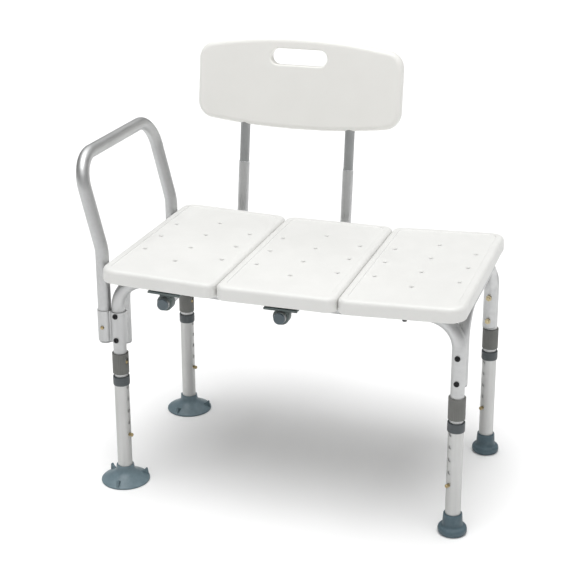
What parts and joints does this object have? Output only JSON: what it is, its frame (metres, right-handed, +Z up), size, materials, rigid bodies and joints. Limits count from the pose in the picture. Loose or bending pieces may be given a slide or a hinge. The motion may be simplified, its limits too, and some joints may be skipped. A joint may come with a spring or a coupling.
{
  "type": "bath transfer bench",
  "caption": "Bath transfer bench: three perforated seat boards on an aluminium frame with extending legs, suction and rubber feet, lift-out arm rail and slotted backrest.",
  "frame": {"origin": "on the floor under the centre of the middle seat board", "axes": "+X along the bench away from the arm rail, +Y from the user's feet to the backrest, +Z up"},
  "size_m": [0.7646, 0.535, 0.8064],
  "materials": {
    "seat_plastic": "moulded, fine satin texture",
    "back_plastic": "moulded, fine satin texture",
    "frame_aluminium": "satin anodised tube",
    "leg_aluminium": "satin anodised tube",
    "post_aluminium": "satin anodised tube",
    "grey_collar": "ribbed moulded plastic",
    "dark_ring": "moulded plastic",
    "foot_rubber": "soft moulded rubber",
    "dark_guide": "moulded plastic",
    "cap_plastic": "moulded plastic",
    "plug_plastic": "moulded plastic",
    "button_brass": "plated snap button",
    "nut_brass": "yellow plated nut",
    "bolt_black": "black finished head",
    "screw_steel": "black finished screw",
    "spring_steel": "spring strip"
  },
  "bodies": {
    "frame": {"seat_panel_left": "seat_plastic", "seat_panel_middle": "seat_plastic", "seat_panel_right": "seat_plastic", "front_frame": "frame_aluminium", "rear_frame": "frame_aluminium", "side_frame_left": "frame_aluminium", "side_frame_right": "frame_aluminium", "frame_bolts": "bolt_black", "frame_nuts": "nut_brass", "tube_plugs": "plug_plastic", "seat_screws": "screw_steel", "arm_socket_front": "frame_aluminium", "arm_socket_rear": "frame_aluminium", "back_guide_left_front": "dark_guide", "back_guide_left_rear": "dark_guide", "back_guide_middle_front": "dark_guide", "back_guide_middle_rear": "dark_guide", "leg_springs": "spring_steel"},
    "leg_front_left": {"leg_tube_front_left": "leg_aluminium", "leg_ring_front_left": "dark_ring", "foot_front_left": "foot_rubber"},
    "collar_front_left": {"leg_collar_front_left": "grey_collar"},
    "height_button_front_left": {"height_button_front_left": "button_brass"},
    "collar_button_front_left": {"collar_button_front_left": "button_brass"},
    "leg_rear_left": {"leg_tube_rear_left": "leg_aluminium", "leg_ring_rear_left": "dark_ring", "foot_rear_left": "foot_rubber"},
    "collar_rear_left": {"leg_collar_rear_left": "grey_collar"},
    "height_button_rear_left": {"height_button_rear_left": "button_brass"},
    "collar_button_rear_left": {"collar_button_rear_left": "button_brass"},
    "leg_front_right": {"leg_tube_front_right": "leg_aluminium", "leg_ring_front_right": "dark_ring", "foot_front_right": "foot_rubber"},
    "collar_front_right": {"leg_collar_front_right": "grey_collar"},
    "height_button_front_right": {"height_button_front_right": "button_brass"},
    "collar_button_front_right": {"collar_button_front_right": "button_brass"},
    "leg_rear_right": {"leg_tube_rear_right": "leg_aluminium", "leg_ring_rear_right": "dark_ring", "foot_rear_right": "foot_rubber"},
    "collar_rear_right": {"leg_collar_rear_right": "grey_collar"},
    "height_button_rear_right": {"height_button_rear_right": "button_brass"},
    "collar_button_rear_right": {"collar_button_rear_right": "button_brass"},
    "arm_rail": {"arm_rail": "frame_aluminium", "arm_springs": "spring_steel"},
    "arm_button_front": {"arm_button_front": "button_brass"},
    "arm_button_rear": {"arm_button_rear": "button_brass"},
    "back_tubes": {"back_tube_left": "frame_aluminium", "back_tube_right": "frame_aluminium", "back_tube_caps": "cap_plastic", "guide_springs": "spring_steel"},
    "backrest": {"back_panel": "back_plastic", "back_post_left": "post_aluminium", "back_post_right": "post_aluminium", "back_screws": "screw_steel", "post_springs": "spring_steel"},
    "back_button_left": {"back_button_left": "button_brass"},
    "guide_button_left": {"guide_button_left": "button_brass"},
    "back_button_right": {"back_button_right": "button_brass"},
    "guide_button_right": {"guide_button_right": "button_brass"}
  },
  "joints": [
    {"name": "leg_extend_front_left", "type": "slide", "parent": "frame", "child": "leg_front_left", "axis": [0, 0, -1], "range_m": [0, 0.1016], "deforming": ["height_button_front_left"]},
    {"name": "collar_slide_front_left", "type": "slide", "parent": "frame", "child": "collar_front_left", "axis": [0, 0, -1], "range_m": [0, 0.0062], "deforming": ["collar_button_front_left"]},
    {"name": "height_press_front_left", "type": "slide", "parent": "frame", "child": "height_button_front_left", "axis": [-0.9781, 0.2079, 0], "range_m": [0, 0.0091], "stiffness_N_per_m": 600, "springref_m": -0.004, "deforming": ["leg_springs"]},
    {"name": "collar_press_front_left", "type": "slide", "parent": "frame", "child": "collar_button_front_left", "axis": [-0.9781, 0.2079, 0], "range_m": [0, 0.003], "stiffness_N_per_m": 600, "springref_m": -0.004},
    {"name": "leg_extend_rear_left", "type": "slide", "parent": "frame", "child": "leg_rear_left", "axis": [0, 0, -1], "range_m": [0, 0.1016], "deforming": ["height_button_rear_left"]},
    {"name": "collar_slide_rear_left", "type": "slide", "parent": "frame", "child": "collar_rear_left", "axis": [0, 0, -1], "range_m": [0, 0.0062], "deforming": ["collar_button_rear_left"]},
    {"name": "height_press_rear_left", "type": "slide", "parent": "frame", "child": "height_button_rear_left", "axis": [-0.9781, 0.2079, 0], "range_m": [0, 0.0091], "stiffness_N_per_m": 600, "springref_m": -0.004, "deforming": ["leg_springs"]},
    {"name": "collar_press_rear_left", "type": "slide", "parent": "frame", "child": "collar_button_rear_left", "axis": [-0.9781, 0.2079, 0], "range_m": [0, 0.003], "stiffness_N_per_m": 600, "springref_m": -0.004},
    {"name": "leg_extend_front_right", "type": "slide", "parent": "frame", "child": "leg_front_right", "axis": [0, 0, -1], "range_m": [0, 0.1016], "deforming": ["height_button_front_right"]},
    {"name": "collar_slide_front_right", "type": "slide", "parent": "frame", "child": "collar_front_right", "axis": [0, 0, -1], "range_m": [0, 0.0062], "deforming": ["collar_button_front_right"]},
    {"name": "height_press_front_right", "type": "slide", "parent": "frame", "child": "height_button_front_right", "axis": [0.5299, 0.848, 0], "range_m": [0, 0.0091], "stiffness_N_per_m": 600, "springref_m": -0.004, "deforming": ["leg_springs"]},
    {"name": "collar_press_front_right", "type": "slide", "parent": "frame", "child": "collar_button_front_right", "axis": [0.9781, -0.2079, 0], "range_m": [0, 0.003], "stiffness_N_per_m": 600, "springref_m": -0.004},
    {"name": "leg_extend_rear_right", "type": "slide", "parent": "frame", "child": "leg_rear_right", "axis": [0, 0, -1], "range_m": [0, 0.1016], "deforming": ["height_button_rear_right"]},
    {"name": "collar_slide_rear_right", "type": "slide", "parent": "frame", "child": "collar_rear_right", "axis": [0, 0, -1], "range_m": [0, 0.0062], "deforming": ["collar_button_rear_right"]},
    {"name": "height_press_rear_right", "type": "slide", "parent": "frame", "child": "height_button_rear_right", "axis": [0.5299, 0.848, 0], "range_m": [0, 0.0091], "stiffness_N_per_m": 600, "springref_m": -0.004, "deforming": ["leg_springs"]},
    {"name": "collar_press_rear_right", "type": "slide", "parent": "frame", "child": "collar_button_rear_right", "axis": [0.9781, -0.2079, 0], "range_m": [0, 0.003], "stiffness_N_per_m": 600, "springref_m": -0.004},
    {"name": "arm_rail_lift", "type": "slide", "parent": "frame", "child": "arm_rail", "axis": [0, 0, 1], "range_m": [0, 0.0565], "deforming": ["arm_springs", "arm_button_front", "arm_button_rear"]},
    {"name": "arm_button_press_front", "type": "slide", "parent": "arm_rail", "child": "arm_button_front", "axis": [0, 1, 0], "range_m": [0, 0.0045], "stiffness_N_per_m": 600, "springref_m": -0.004},
    {"name": "arm_button_press_rear", "type": "slide", "parent": "arm_rail", "child": "arm_button_rear", "axis": [0, -1, 0], "range_m": [0, 0.0045], "stiffness_N_per_m": 600, "springref_m": -0.004},
    {"name": "back_tubes_slide", "type": "slide", "parent": "frame", "child": "back_tubes", "axis": [0, 1, 0], "range_m": [0, 0.34], "deforming": ["guide_springs", "guide_button_left", "guide_button_right"]},
    {"name": "backrest_lift", "type": "slide", "parent": "back_tubes", "child": "backrest", "axis": [0, 0.1368, 0.9906], "range_m": [0, 0.048], "deforming": ["post_springs", "back_button_left", "back_button_right"]},
    {"name": "back_button_press_left", "type": "slide", "parent": "backrest", "child": "back_button_left", "axis": [0, -0.9906, 0.1368], "range_m": [0, 0.0045], "stiffness_N_per_m": 600, "springref_m": -0.004},
    {"name": "guide_button_press_left", "type": "slide", "parent": "back_tubes", "child": "guide_button_left", "axis": [0, 0, 1], "range_m": [0, 0.0065], "stiffness_N_per_m": 600, "springref_m": -0.004},
    {"name": "back_button_press_right", "type": "slide", "parent": "backrest", "child": "back_button_right", "axis": [0, -0.9906, 0.1368], "range_m": [0, 0.0045], "stiffness_N_per_m": 600, "springref_m": -0.004},
    {"name": "guide_button_press_right", "type": "slide", "parent": "back_tubes", "child": "guide_button_right", "axis": [0, 0, 1], "range_m": [0, 0.0065], "stiffness_N_per_m": 600, "springref_m": -0.004}
  ]
}
